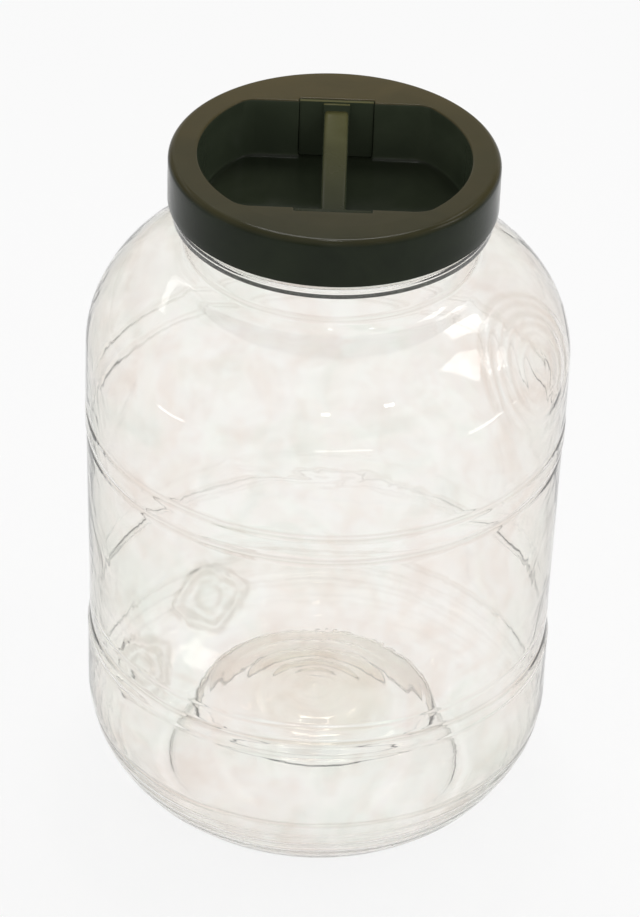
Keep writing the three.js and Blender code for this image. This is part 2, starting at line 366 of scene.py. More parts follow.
def smoothed(points):
    """The profile cut finely, with its corners rounded."""
    p = np.array(points, float)
    lengths = np.r_[0, np.cumsum(np.linalg.norm(np.diff(p, axis=0), axis=1))]
    at = np.arange(0, lengths[-1], DENSE_STEP)
    fine = np.stack([np.interp(at, lengths, p[:, k]) for k in (0, 1)], axis=1)
    out = fine.copy()
    for i in range(len(fine)):
        reach = corner_reach(fine[i], i / len(fine))
        half = min(int(BLUR_WIDTHS * reach / DENSE_STEP), i, len(fine) - 1 - i)
        if half:
            span = fine[i - half:i + half + 1]
            weight = np.exp(-0.5 * (np.arange(-half, half + 1) * DENSE_STEP / reach) ** 2)
            out[i] = (span * weight[:, None]).sum(axis=0) / weight.sum()
    out[0, 0] = 0
    out[-1, 0] = 0
    return out


def lined(point):
    """Whether a point of the jar's profile lies on the wall, and not on the pushed-up base."""
    return point[0] > WALL_FROM_RADIUS or point[1] > HEEL_HEIGHT


def threaded(point):
    """Whether a point of the jar's profile lies on the threaded wall."""
    outside = point[0] > (FINISH_RADIUS + BORE_RADIUS) / 2
    return outside and THREAD_WALL_FOOT < point[1] < THREAD_WALL_TOP


def longest_step(point):
    """How long a step may be at a point of the profile: short where the wall has fine relief."""
    radius, height = point
    if threaded(point):
        return THREAD_STEP
    if radius < PLATEAU_RADIUS and height < BASE_TOP:
        return RING_ROW_STEP
    if lined(point):
        for level, width, _ in WALL_LINES:
            if abs(height - level) < LINE_SPAN * width:
                return LINE_STEP
        if height < HEEL_HEIGHT or height > ROUNDEL[1] - ROUNDEL_RINGS[-1][0] - RELIEF_MARGIN:
            return RELIEF_STEP
    return LONG_STEP


def thinned(points):
    """Which points to keep of the profile: only where it turns, or where a step grows long."""
    along = np.diff(points, axis=0)
    heading = np.unwrap(np.arctan2(along[:, 1], along[:, 0]))
    step = np.linalg.norm(along, axis=1)
    kept, gone, start = [0], 0.0, heading[0]
    for i in range(1, len(points) - 1):
        gone += step[i - 1]
        if gone >= longest_step(points[i]) or abs(heading[i] - start) > TURN_PER_STEP:
            kept.append(i)
            gone, start = 0.0, heading[i]
    kept.append(len(points) - 1)
    return kept


def thread_lift(turn, height, lowest):
    """How far the three helical ribs stand off their wall, for arrays of angle and height."""
    lift = np.zeros(np.broadcast(turn, height).shape)
    for start in range(THREAD_STARTS):
        for lap in (0, 1):
            along = (turn - start * 2 * math.pi / THREAD_STARTS) % (2 * math.pi) + lap * 2 * math.pi
            middle = lowest + THREAD_LEAD * along / (2 * math.pi)
            across = np.abs(height - middle)
            flank = (THREAD_ROOT / 2 - across) / ((THREAD_ROOT - THREAD_CREST) / 2)
            end = np.minimum(along, THREAD_TURN - along) / THREAD_FADE
            rib = THREAD_RISE * np.clip(flank, 0, 1) * np.clip(end, 0, 1)
            lift = np.maximum(lift, rib)
    return lift


def wall_point(place):
    """The point of the jar's outside at an angle and a height, with the ways up and along there."""
    outer = np.array(wall_profile())
    angle, height = place
    radius = np.interp(height, outer[:, 1], outer[:, 0])
    above = np.interp(height + 1, outer[:, 1], outer[:, 0])
    point = np.array([radius * math.cos(angle), radius * math.sin(angle), height])
    upward = np.array([(above - radius) * math.cos(angle), (above - radius) * math.sin(angle), 1.0])
    level = np.array([-math.sin(angle), math.cos(angle), 0.0])
    return point, upward / np.linalg.norm(upward), level


def ridge(distance, width):
    return np.exp(-(distance / width) ** 2)


def roundel_rise(points):
    """How far the roundel's rings stand proud at these points."""
    middle, upward, _ = wall_point(ROUNDEL)
    away = np.linalg.norm(points - middle, axis=-1)
    proud = sum(rise * ridge(away - radius, ROUNDEL_WIDTH) for radius, rise in ROUNDEL_RINGS)
    along = (points - middle) @ upward
    fade = 1 / (1 + np.exp((along - ROUNDEL_FADE_START) / ROUNDEL_FADE_LENGTH))
    return proud * (1 - ROUNDEL_FADE_SHARE * fade)


def lozenge_rise(points, place):
    """How far a lozenge and its boss stand proud at these points."""
    middle, upward, level = wall_point(place)
    across = (points - middle) @ level
    along = (points - middle) @ upward
    near = np.linalg.norm(points - middle, axis=-1)
    share = (np.abs(across / LOZENGE_REACH[0]) ** LOZENGE_POWER
             + np.abs(along / LOZENGE_REACH[1]) ** LOZENGE_POWER)
    band = ridge((share ** (1 / LOZENGE_POWER) - 1) * LOZENGE_REACH[1], LOZENGE_WIDTH)
    boss = 1 / (1 + np.exp((near - BOSS_RADIUS) / BOSS_EDGE))
    return LOZENGE_RISE * (band + boss) * (near < LOZENGE_END)


def swell(turn, height):
    """The slight unevenness of a blown wall."""
    return sum(rise * np.sin(waves * turn + height / pitch + phase)
               for waves, pitch, phase, rise in SWELLS)


def wall_rise(ring, turn, point):
    """How far the reliefs, swells and fine lines stand proud on one ring of the jar's wall."""
    radius, height = point
    proud = np.zeros(len(turn))
    if height >= RELIEF_TOP:
        return proud
    proud += roundel_rise(ring) * min(1, height / RELIEF_FADE_HEIGHT)
    for place in LOZENGES:
        proud += lozenge_rise(ring, place) * min(1, height / RELIEF_FADE_HEIGHT)
    calm = min(1, max(0, radius - WALL_FROM_RADIUS) / SWELL_FADE_RADIUS)
    proud += swell(turn, height) * calm * min(1, height / SWELL_FADE_HEIGHT)
    if lined(point):
        for level, width, rise in WALL_LINES:
            proud += rise * ridge(height - level, width)
    if radius < PLATEAU_RADIUS and height < BASE_TOP:
        for middle in FINE_RINGS:
            proud += FINE_RING_RISE * ridge(radius - middle, FINE_RING_WIDTH)
    return proud


def make_mesh(name, rows, caps, smooth_angle):
    """A mesh from rows of points round the axis, in mm. A cap closes an end to one point."""
    rows = np.array(rows, float)
    count = rows.shape[1]
    bm = bmesh.new()
    rings = [[bm.verts.new(Vector(p) * MM) for p in row] for row in rows]
    for low, high in zip(rings, rings[1:]):
        for i in range(count):
            j = (i + 1) % count
            bm.faces.new((low[i], low[j], high[j], high[i]))
    for ring, row, wanted in ((rings[0], rows[0], caps[0]), (rings[-1], rows[-1], caps[1])):
        if wanted:
            tip = bm.verts.new(Vector(row.mean(axis=0)) * MM)
            for i in range(count):
                bm.faces.new((ring[i], ring[(i + 1) % count], tip))
    bmesh.ops.recalc_face_normals(bm, faces=bm.faces)
    return place_piece(name, bm, smooth_angle)


def place_piece(name, bm, smooth_angle):
    mesh = bpy.data.meshes.new(name)
    bm.to_mesh(mesh)
    bm.free()
    piece = bpy.data.objects.new(name, mesh)
    bpy.context.scene.collection.objects.link(piece)
    mesh.polygons.foreach_set("use_smooth", [True] * len(mesh.polygons))
    mesh.set_sharp_from_angle(angle=smooth_angle)
    return piece


def make_jar():
    """Clear jar: one closed wall, with hoops, reliefs, stepped base, ring and thread."""
    fine, outward = jar_profile()
    rim = int(np.argmax(fine[:, 1]))
    turn = np.linspace(0, 2 * math.pi, JAR_SEGMENTS, endpoint=False)
    rows, rises = [], []
    for k in thinned(fine)[1:-1]:
        radius, height = fine[k]
        ring = circle(turn, radius, height)
        rise = wall_rise(ring, turn, fine[k])
        if k < rim and threaded(fine[k]):
            rise += thread_lift(turn, height, JAR_THREAD_LOWEST)
        shift = rise if k < rim else -INNER_RELIEF_SHARE * rise
        ring[:, 0] += shift * outward[k][0] * np.cos(turn)
        ring[:, 1] += shift * outward[k][0] * np.sin(turn)
        ring[:, 2] += shift * outward[k][1]
        reach = np.maximum(np.hypot(ring[:, 0], ring[:, 1]), 1)
        ring[:, :2] *= np.minimum(1, LARGEST_RADIUS / reach)[:, None]
        ring[:, 2] = np.clip(ring[:, 2], 0, RIM_HEIGHT)
        rows.append(ring)
        rises.append(rise)
    jar = make_mesh("clear_jar", rows, (True, True), JAR_SMOOTH_ANGLE)
    mark_reliefs(jar, np.array(rows), np.array(rises))
    return jar


def mark_reliefs(jar, rows, rises):
    """Keeps how steep the wall's reliefs are, so that the plastic's tint paints shade along their flanks.
    """
    row_gap = np.linalg.norm(np.gradient(rows, axis=0), axis=2)
    turn_gap = np.linalg.norm(np.roll(rows, -1, axis=1) - rows, axis=2)
    climb = np.gradient(rises, axis=0) / np.maximum(row_gap, LINE_STEP / 2)
    around = (np.roll(rises, -1, axis=1) - rises) / np.maximum(turn_gap, LINE_STEP / 2)
    steep = np.hypot(climb, around)
    steep[rows[..., 2] > RELIEF_TOP] = 0
    mark = jar.data.attributes.new("relief_slope", "FLOAT", "POINT")
    values = np.zeros(len(jar.data.vertices), np.float32)
    values[:steep.size] = steep.ravel()
    mark.data.foreach_set("value", values)


def round_max(a, b, reach):
    """The larger of two distances, with the corner between them rounded."""
    u = np.maximum(a + reach, 0)
    v = np.maximum(b + reach, 0)
    return np.minimum(-reach, np.maximum(a, b)) + np.hypot(u, v)


def round_min(a, b, reach):
    """The smaller of two distances, with the corner between them rounded."""
    u = np.maximum(reach - a, 0)
    v = np.maximum(reach - b, 0)
    return np.maximum(reach, np.minimum(a, b)) - np.hypot(u, v)


def well_distance(x, y, inset):
    """Distance of a point from the well's outline. Its walls, but not its pockets, draw in by inset."""
    round_wall = np.hypot(x, y) - (WELL_RADIUS - inset)
    straight_wall = np.abs(y) - (WELL_HALF_WIDTH - inset)
    open_well = round_max(round_wall, straight_wall, WELL_CORNER)
    pocket = round_max(np.abs(x) - POCKET_WIDTH / 2, np.abs(y) - WELL_HALF_WIDTH - POCKET_DEPTH,
                       POCKET_CORNER)
    return round_min(open_well, pocket, POCKET_MOUTH)


def lid_turns():
    """Angles of the lid's points: even ones, with more where the well's outline turns."""
    chord = math.asin(WELL_HALF_WIDTH / WELL_RADIUS)
    mouth = math.atan2(WELL_HALF_WIDTH, POCKET_WIDTH / 2) - POCKET_TURN_MARGIN
    end = math.atan2(WELL_HALF_WIDTH + POCKET_DEPTH, POCKET_WIDTH / 2) + POCKET_TURN_MARGIN
    turns = list(np.linspace(0, 2 * math.pi, LID_SEGMENTS, endpoint=False))
    for base in (0, math.pi):
        for sign in (-1, 1):
            turns += list(base + sign * (chord + WELL_CORNER_TURNS))
            turns += list(base + sign * np.linspace(mouth, end, POCKET_TURNS))
    turns = np.unique(np.round(np.mod(turns, 2 * math.pi), TURN_DECIMALS))
    gaps = np.diff(np.r_[turns, turns[0] + 2 * math.pi])
    return turns[gaps > LEAST_TURN]


def outline(turns, grow, inset, height):
    """The well's outline, moved outwards by grow, at a height."""
    low = np.full(len(turns), float(OUTLINE_NEAREST))
    high = np.full(len(turns), float(OUTLINE_FARTHEST))
    for _ in range(OUTLINE_HALVINGS):
        middle = (low + high) / 2
        far = well_distance(middle * np.cos(turns), middle * np.sin(turns), inset) > grow
        high = np.where(far, middle, high)
        low = np.where(far, low, middle)
    return np.stack([low * np.cos(turns), low * np.sin(turns), np.full(len(turns), height)], axis=1)


def well_inset(height):
    """How far the well's walls have drawn in at a height."""
    return WELL_DRAFT * min(1, max(0, LID_TOP - height) / WELL_DEPTH)


def well_rows(turns):
    """Inside of the well: its floor, its walls and its rounded mouth."""
    edge = outline(turns, -WELL_FLOOR_ROUND, WELL_DRAFT, WELL_FLOOR)
    rows = [edge * [share, share, 1] for share in FLOOR_SHARES]
    for a in QUARTER:
        height = WELL_FLOOR + WELL_FLOOR_ROUND * (1 - math.cos(a))
        rows.append(outline(turns, -WELL_FLOOR_ROUND * (1 - math.sin(a)), well_inset(height), height))
    wall_foot = WELL_FLOOR + WELL_FLOOR_ROUND
    for height in np.linspace(wall_foot, LID_TOP - WELL_MOUTH_ROUND, WELL_WALL_ROWS)[1:]:
        rows.append(outline(turns, 0, well_inset(height), height))
    for a in QUARTER[1:]:
        rows.append(outline(turns, WELL_MOUTH_ROUND * (1 - math.cos(a)), 0,
                            LID_TOP - WELL_MOUTH_ROUND * (1 - math.sin(a))))
    return rows


def rim_rows(turns, mouth):
    """The flat rim from the well's mouth, the rounded edge, and the skirt down to its foot."""
    rim_edge = LID_RADIUS - LID_EDGE_ROUND
    outer = circle(turns, rim_edge, LID_TOP)
    rows = [mouth * (1 - share) + outer * share for share in RIM_SHARES]
    for a in EDGE_QUARTER:
        rows.append(circle(turns, rim_edge + LID_EDGE_ROUND * math.sin(a),
                           LID_TOP - LID_EDGE_ROUND * (1 - math.cos(a))))
    for height in np.linspace(LID_TOP - LID_EDGE_ROUND, SKIRT_FOOT + FOOT_ROUND, SKIRT_ROWS)[1:]:
        rows.append(circle(turns, LID_RADIUS, height))
    for a in QUARTER[1:]:
        rows.append(circle(turns, LID_RADIUS - FOOT_ROUND * (1 - math.cos(a)),
                           SKIRT_FOOT + FOOT_ROUND * (1 - math.sin(a))))
    return rows


def skirt_inner_rows(turns):
    """Inside of the skirt with its thread, up to the underside of the rim."""
    rows = []
    for a in QUARTER:
        rows.append(circle(turns, SKIRT_INNER + FOOT_ROUND * (1 - math.sin(a)),
                           SKIRT_FOOT + FOOT_ROUND * (1 - math.cos(a))))
    first = SKIRT_FOOT + FOOT_ROUND + THREAD_ROWS_FOOT
    for height in np.arange(first, LID_UNDERSIDE - THREAD_ROWS_TOP, THREAD_ROW_STEP):
        rows.append(circle(turns, SKIRT_INNER - thread_lift(turns, height, LID_THREAD_LOWEST), height))
    rows.append(circle(turns, SKIRT_INNER, LID_UNDERSIDE - SKIRT_CORNER))
    rows.append(circle(turns, SKIRT_INNER - SKIRT_CORNER, LID_UNDERSIDE))
    return rows


def underside_rows(turns, corner):
    """Underside of the rim from the skirt's corner, and the outside of the well."""
    rows = [0.5 * outline(turns, WELL_WALL, 0, LID_UNDERSIDE) + 0.5 * corner]
    shell_foot = WELL_FLOOR - WELL_WALL
    for height in np.linspace(LID_UNDERSIDE, shell_foot + WELL_FLOOR_ROUND, SHELL_ROWS):
        rows.append(outline(turns, WELL_WALL, well_inset(height), height))
    for a in QUARTER[1:]:
        rows.append(outline(turns, WELL_WALL - WELL_FLOOR_ROUND * (1 - math.cos(a)), WELL_DRAFT,
                            shell_foot + WELL_FLOOR_ROUND * (1 - math.sin(a))))
    edge = rows[-1]
    return rows + [edge * [share, share, 1] for share in reversed(FLOOR_SHARES)]


def make_lid():
    """Screw lid: skirt with its inside thread, flat rim, and the deep well with two pockets."""
    turns = lid_turns()
    rows = well_rows(turns)
    rows += rim_rows(turns, rows[-1])
    rows += skirt_inner_rows(turns)
    rows += underside_rows(turns, rows[-1])
    return make_mesh("lid_shell", rows, (True, True), LID_SMOOTH_ANGLE)


def make_seal():
    """Soft liner ring with rounded edges."""
    outer, inner = SEAL_OUTER - SEAL_ROUND, SEAL_OUTER - SEAL_WIDTH + SEAL_ROUND
    low, high = SEAL_LOW + SEAL_ROUND, SEAL_HIGH - SEAL_ROUND
    corners = ((outer, low), (outer, high), (inner, high), (inner, low))
    profile = []
    for i, corner in enumerate(corners):
        start = (i - 1) * math.pi / 2
        profile += arc(corner, SEAL_ROUND, start, start + math.pi / 2, CORNER_STEPS)
    turns = np.linspace(0, 2 * math.pi, SEAL_SEGMENTS, endpoint=False)
    rows = [circle(turns, radius, height) for radius, height in profile]
    return make_mesh("liner_ring", [*rows, rows[0]], (False, False), SMOOTH_ANGLE)


def make_grip():
    """The grip's own shape, with its edges softened as on a moulded piece."""
    bm = bmesh.new()
    bm.from_mesh(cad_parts["grip_handle"].data)
    bmesh.ops.remove_doubles(bm, verts=bm.verts, dist=GRIP_MERGE * MM)
    bmesh.ops.dissolve_limit(bm, angle_limit=GRIP_FLAT_ANGLE, verts=bm.verts, edges=bm.edges)
    sharp = [e for e in bm.edges if len(e.link_faces) == 2 and e.calc_face_angle() > GRIP_SHARP_ANGLE]
    bmesh.ops.bevel(bm, geom=sharp, offset=GRIP_EDGE_ROUND * MM, segments=GRIP_ROUND_SEGMENTS,
                    profile=0.5, affect="EDGES", clamp_overlap=True)
    return place_piece("grip_bar", bm, SMOOTH_ANGLE)


# Noise in the materials: waves per metre, detail and distortion
CLOUD_NOISE = (17, 3, 1.2)
FLECK_NOISE = (58, 3, 0.8)
DULL_NOISE = (40, 5)
RIPPLE_NOISE = (42, 2, 0.6)
BASE_NOISE = (45, 3, 1.0)
OLIVE_NOISE = (38, 6, 0.6)
BROWN_NOISE = (30, 5, 0.8)
WELL_NOISE = (24, 4, 0.5)
SCUFF_NOISE = (90, 6)
GRAIN_NOISE = (2600, 2)
WAVE_NOISE = (60, 3)
FOAM_NOISE = (60, 5)
CELL_NOISE = (3200, 2)

# Bumps: strength, and height in mm
RIPPLE_BUMP = (0.35, 0.7)
GRAIN_BUMP = (0.12, 0.1)
WAVE_BUMP = (0.15, 0.8)
CELL_BUMP = (0.4, 0.2)

# Clear plastic: tints by noise, by how steeply it is looked at, and painted shade by the slope of its
# reliefs
CLOUD_TONES = ((0.32, "#fdf9f6"), (0.46, "#fffefd"), (0.55, "#fffffd"), (0.68, "#f8faf7"))
FLECK_TONES = ((0.36, "#fcfaf9"), (0.52, "#ffffff"))
GRAZING_SPREAD = (0.27, 1)
GRAZING_TONES = ((0, "#fffffe"), (0.5, "#f5f3f0"), (1, "#d9d6d0"))
# Painted shade: the plastic darkens where its reliefs are steep, which draws their flanks as darker lines.
PAINTED_FLANK_SHADE_TONES = ((0.06, "#ffffff"), (0.3, "#f0edea"), (0.6, "#e4e0db"))
# Painted shade in the base disc: beige, darker tones that stand for the shadowed floor seen through the
# base.
PAINTED_BASE_SHADE_TONES = ((0.35, "#f3eee6"), (0.65, "#f9f6f1"))
BASE_DISC = 38
BASE_DISC_EDGE = 11
DULLEST = 0.05
CLARITY = 0.97
PLASTIC_IOR = 1.5
SHADOW_TINT = (0.66, 0.655, 0.65, 1)
RIPPLES_FROM = (HEEL_HEIGHT, HEEL_HEIGHT + 30)
RIPPLES_TO = (RING_HEIGHT - 28, RING_HEIGHT - 14)

# Olive plastic. Upward faces above a height carry painted light, browner and lighter as if lit from above,
# most at the back and fading towards the front as painted shade.
LID_FINISH = {
    "tones": ((0.3, "#1f251a"), (0.7, "#272e20")), "roughness": 0.14, "shine": 0.13,
    "painted_top_light": ((0.35, "#463f25"), (0.65, "#4d4428")), "painted_light_from": LID_TOP - 3,
    "front_share": 0.35, "reach": LID_RADIUS,
}
# The grip's top also carries painted light, lighter at the back, with painted shade towards its front end.
GRIP_FINISH = {
    "tones": ((0.3, "#1c2117"), (0.7, "#22271b")), "roughness": 0.22, "shine": 0.06,
    "painted_top_light": ((0.35, "#4c4b2d"), (0.65, "#545335")), "painted_light_from": WELL_FLOOR + 9,
    "front_share": 0.1, "reach": WELL_HALF_WIDTH,
}
# Hand well: the paler wall tones are a painted reflection, and the darker floor tones are painted shade.
WELL_WALL_PAINTED_SHEEN_TONES = ((0.35, "#3e4637"), (0.65, "#4a5241"))
WELL_FLOOR_PAINTED_SHADE_TONES = ((0.35, "#20251b"), (0.65, "#2a2f23"))
WELL_TONE_MARGIN = 0.6
SCUFF_RANGE = (-0.07, 0.08)
UPWARD_SPREAD = (0.25, 0.75)

# Liner
FOAM_TONES = ((0.3, "#d8d4c8"), (0.7, "#eae7de"))
FOAM_ROUGHNESS = 0.85


def srgb(code):
    """Linear colour, with alpha, of a hex code."""
    values = [int(code[i:i + 2], 16) / 255 for i in (1, 3, 5)]
    return (*[v / 12.92 if v <= 0.04045 else ((v + 0.055) / 1.055) ** 2.4 for v in values], 1)


def new_material(name):
    material = bpy.data.materials.new(name)
    material.use_nodes = True
    tree = material.node_tree
    return material, tree, tree.nodes["Principled BSDF"]


def add_noise(tree, scale, detail, distortion=0, space="Object"):
    """A noise texture. In the object's own space, its scale is in waves per metre."""
    place = tree.nodes.new("ShaderNodeTexCoord")
    noise = tree.nodes.new("ShaderNodeTexNoise")
    noise.inputs["Scale"].default_value = scale
    noise.inputs["Detail"].default_value = detail
    noise.inputs["Distortion"].default_value = distortion
    tree.links.new(place.outputs[space], noise.inputs["Vector"])
    return noise.outputs["Fac"]


def add_range(tree, value, low, high, spread=(0.3, 0.7)):
    """The value mapped from a spread to the range from low to high."""
    node = tree.nodes.new("ShaderNodeMapRange")
    node.inputs["From Min"].default_value = spread[0]
    node.inputs["From Max"].default_value = spread[1]
    node.inputs["To Min"].default_value = low
    node.inputs["To Max"].default_value = high
    tree.links.new(value, node.inputs["Value"])
    return node.outputs["Result"]


def add_ramp(tree, value, tones):
    """Colours by value. A tone is a place from 0 to 1 and a hex code."""
    ramp = tree.nodes.new("ShaderNodeValToRGB")
    elements = ramp.color_ramp.elements
    while len(elements) < len(tones):
        elements.new(0.5)
    for element, (place, code) in zip(elements, tones):
        element.position = place
        element.color = srgb(code)
    tree.links.new(value, ramp.inputs["Fac"])
    return ramp.outputs["Color"]


def add_bump(tree, height, strength, rise, after=None):
    bump = tree.nodes.new("ShaderNodeBump")
    bump.inputs["Strength"].default_value = strength
    bump.inputs["Distance"].default_value = rise * MM
    tree.links.new(height, bump.inputs["Height"])
    if after is not None:
        tree.links.new(after, bump.inputs["Normal"])
    return bump.outputs["Normal"]


def mixed(tree, share, first, second, blend="MIX"):
    """Two colours mixed, where share is a constant or the output of a node."""
    mix = tree.nodes.new("ShaderNodeMix")
    mix.data_type = "RGBA"
    mix.blend_type = blend
    if isinstance(share, bpy.types.NodeSocket):
        tree.links.new(share, mix.inputs["Factor"])
    else:
        mix.inputs["Factor"].default_value = share
    tree.links.new(first, mix.inputs["A"])
    tree.links.new(second, mix.inputs["B"])
    return mix.outputs["Result"]


def multiplied(tree, first, second):
    return mixed(tree, 1, first, second, "MULTIPLY")


def combined(tree, operation, first, second):
    """Two values joined by MULTIPLY or MAXIMUM."""
    node = tree.nodes.new("ShaderNodeMath")
    node.operation = operation
    tree.links.new(first, node.inputs[0])
    tree.links.new(second, node.inputs[1])
    return node.outputs["Value"]


def mix_shaders(tree, share, first, second):
    mix = tree.nodes.new("ShaderNodeMixShader")
    tree.links.new(share, mix.inputs["Fac"])
    tree.links.new(first, mix.inputs[1])
    tree.links.new(second, mix.inputs[2])
    return mix.outputs["Shader"]


def parts_of(tree, output):
    """The X, Y and Z of one of the object's own coordinates, Object or Normal."""
    place = tree.nodes.new("ShaderNodeTexCoord")
    parts = tree.nodes.new("ShaderNodeSeparateXYZ")
    tree.links.new(place.outputs[output], parts.inputs["Vector"])
    return parts.outputs


def within_radius(tree, radius, edge=1):
    """1 nearer the axis than radius in mm, 0 farther out, with a step of a width in mm between."""
    place = tree.nodes.new("ShaderNodeTexCoord")
    flat = tree.nodes.new("ShaderNodeVectorMath")
    flat.operation = "MULTIPLY"
    flat.inputs[1].default_value = (1, 1, 0)
    tree.links.new(place.outputs["Object"], flat.inputs[0])
    length = tree.nodes.new("ShaderNodeVectorMath")
    length.operation = "LENGTH"
    tree.links.new(flat.outputs["Vector"], length.inputs[0])
    return add_range(tree, length.outputs["Value"], 1, 0, ((radius - edge) * MM, radius * MM))


def upper_share(tree, from_height, front_share, reach):
    """1 on faces that look up and lie above a height in mm, 0 elsewhere, with a soft step between.

    It falls to front_share from the back to the front, which lie at plus and minus reach in mm."""
    where = parts_of(tree, "Object")
    above = add_range(tree, where["Z"], 0, 1, (from_height * MM, (from_height + 1) * MM))
    upward = add_range(tree, parts_of(tree, "Normal")["Z"], 0, 1, UPWARD_SPREAD)
    # Painted shade: towards the front the painted light falls to front_share.
    painted_shade_to_front = add_range(tree, where["Y"], front_share, 1, (-reach * MM, reach * MM))
    return combined(tree, "MULTIPLY", combined(tree, "MULTIPLY", above, upward), painted_shade_to_front)


def rippled_share(tree):
    """1 on the jar's wall, 0 on its base and neck."""
    height = parts_of(tree, "Object")["Z"]
    above = add_range(tree, height, 0, 1, [level * MM for level in RIPPLES_FROM])
    below = add_range(tree, height, 1, 0, [level * MM for level in RIPPLES_TO])
    return combined(tree, "MULTIPLY", above, below)


def plastic_tint(tree):
    """Tint of the clear plastic: cloudy, deeper where it is grazed, with painted shade on the flanks of
    reliefs and a beige painted shade in the base.
    """
    clouds = add_ramp(tree, add_noise(tree, *CLOUD_NOISE), CLOUD_TONES)
    flecks = add_ramp(tree, add_noise(tree, *FLECK_NOISE), FLECK_TONES)
    edge = tree.nodes.new("ShaderNodeLayerWeight")
    edge.inputs["Blend"].default_value = 0.5
    grazing = add_ramp(tree, add_range(tree, edge.outputs["Facing"], 0, 1, GRAZING_SPREAD), GRAZING_TONES)
    slope = tree.nodes.new("ShaderNodeAttribute")
    slope.attribute_name = "relief_slope"
    # Painted shade along the steep flanks of the reliefs.
    flanks = add_ramp(tree, slope.outputs["Fac"], PAINTED_FLANK_SHADE_TONES)
    milk = multiplied(tree, clouds, flecks)
    tint = multiplied(tree, multiplied(tree, milk, grazing), flanks)
    # Painted shade: the base disc is darkened and browned where the floor shows through it.
    browner = multiplied(tree, tint, add_ramp(tree, add_noise(tree, *BASE_NOISE), PAINTED_BASE_SHADE_TONES))
    return mixed(tree, within_radius(tree, BASE_DISC, BASE_DISC_EDGE), tint, browner)


def clear_plastic():
    """Clear blown plastic: faintly milky, glossy, with soft ripples and a few dull patches."""
    material, tree, shader = new_material("clear_plastic")
    tree.links.new(plastic_tint(tree), shader.inputs["Base Color"])
    tree.links.new(add_range(tree, add_noise(tree, *DULL_NOISE), 0, DULLEST), shader.inputs["Roughness"])
    shader.inputs["Transmission Weight"].default_value = CLARITY
    shader.inputs["IOR"].default_value = PLASTIC_IOR
    uneven = combined(tree, "MULTIPLY", add_noise(tree, *RIPPLE_NOISE), rippled_share(tree))
    tree.links.new(add_bump(tree, uneven, *RIPPLE_BUMP), shader.inputs["Normal"])
    let_lamps_through(tree, shader)
    return material


def let_lamps_through(tree, shader):
    """Clear walls this thin cast hardly any shadow."""
    path = tree.nodes.new("ShaderNodeLightPath")
    open_way = tree.nodes.new("ShaderNodeBsdfTransparent")
    open_way.inputs["Color"].default_value = SHADOW_TINT
    surface = mix_shaders(tree, path.outputs["Is Shadow Ray"], shader.outputs["BSDF"],
                          open_way.outputs["BSDF"])
    tree.links.new(surface, tree.nodes["Material Output"].inputs["Surface"])


def olive_plastic(name, tones, roughness, shine, painted_top_light, painted_light_from, front_share, reach):
    """Moulded olive plastic with fine grain, cloudy colour and slight scuffs.

    Upward faces above a height in mm get painted light: browner, lighter colours, as if lit from above.
    Towards the front only front_share of that painted light is left, as painted shade. In the hand well,
    the paler walls are a painted reflection and the darker floor is painted shade."""
    material, tree, shader = new_material(name)
    tint = add_ramp(tree, add_noise(tree, *OLIVE_NOISE), tones)
    painted_light_tint = add_ramp(tree, add_noise(tree, *BROWN_NOISE), painted_top_light)
    # Painted reflection on the well's walls, and painted shade on its floor.
    walls = add_ramp(tree, add_noise(tree, *WELL_NOISE), WELL_WALL_PAINTED_SHEEN_TONES)
    level = add_ramp(tree, add_noise(tree, *WELL_NOISE), WELL_FLOOR_PAINTED_SHADE_TONES)
    inside = mixed(tree, upper_share(tree, 0, 1, reach), walls, level)
    tint = mixed(tree, within_radius(tree, WELL_RADIUS + WELL_TONE_MARGIN), tint, inside)
    # Painted light on upward faces above a height, with less of it towards the front as painted shade.
    tint = mixed(tree, upper_share(tree, painted_light_from, front_share, reach), tint, painted_light_tint)
    tree.links.new(tint, shader.inputs["Base Color"])
    shader.inputs["Specular IOR Level"].default_value = shine
    least, most = [roughness + change for change in SCUFF_RANGE]
    tree.links.new(add_range(tree, add_noise(tree, *SCUFF_NOISE), least, most), shader.inputs["Roughness"])
    grain = add_bump(tree, add_noise(tree, *GRAIN_NOISE), *GRAIN_BUMP)
    waves = add_bump(tree, add_noise(tree, *WAVE_NOISE), *WAVE_BUMP, grain)
    tree.links.new(waves, shader.inputs["Normal"])
    return material


def liner_foam():
    """Soft off-white liner with fine cells and a few stains."""
    material, tree, shader = new_material("liner_foam")
    tint = add_ramp(tree, add_noise(tree, *FOAM_NOISE), FOAM_TONES)
    tree.links.new(tint, shader.inputs["Base Color"])
    shader.inputs["Roughness"].default_value = FOAM_ROUGHNESS
    tree.links.new(add_bump(tree, add_noise(tree, *CELL_NOISE), *CELL_BUMP), shader.inputs["Normal"])
    return material


def dress(piece, body, node, material):
    """Gives a piece its material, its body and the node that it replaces."""
    piece.data.materials.clear()
    piece.data.materials.append(material)
    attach(piece, body)
    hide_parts(node)


dress(make_jar(), "jar", "jar", clear_plastic())
dress(make_seal(), "liner", "sealing_ring", liner_foam())
dress(make_lid(), "lid", "screw_lid", olive_plastic("lid_olive", **LID_FINISH))
dress(make_grip(), "lid", "grip_handle", olive_plastic("grip_olive", **GRIP_FINISH))


# Camera: place in mm, turns in radians, and focal length in pixels of the 640 by 917 picture
CAMERA_PLACE = (0, -1591.9, 1279.2)
CAMERA_PITCH = 0.6083
CAMERA_PAN = -0.0011
CAMERA_ROLL = 0.0362
FOCAL_PIXELS = 4296.2
PICTURE_HEIGHT = 917
SENSOR = 36
NEAREST_SEEN = 50
FARTHEST_SEEN = 50000

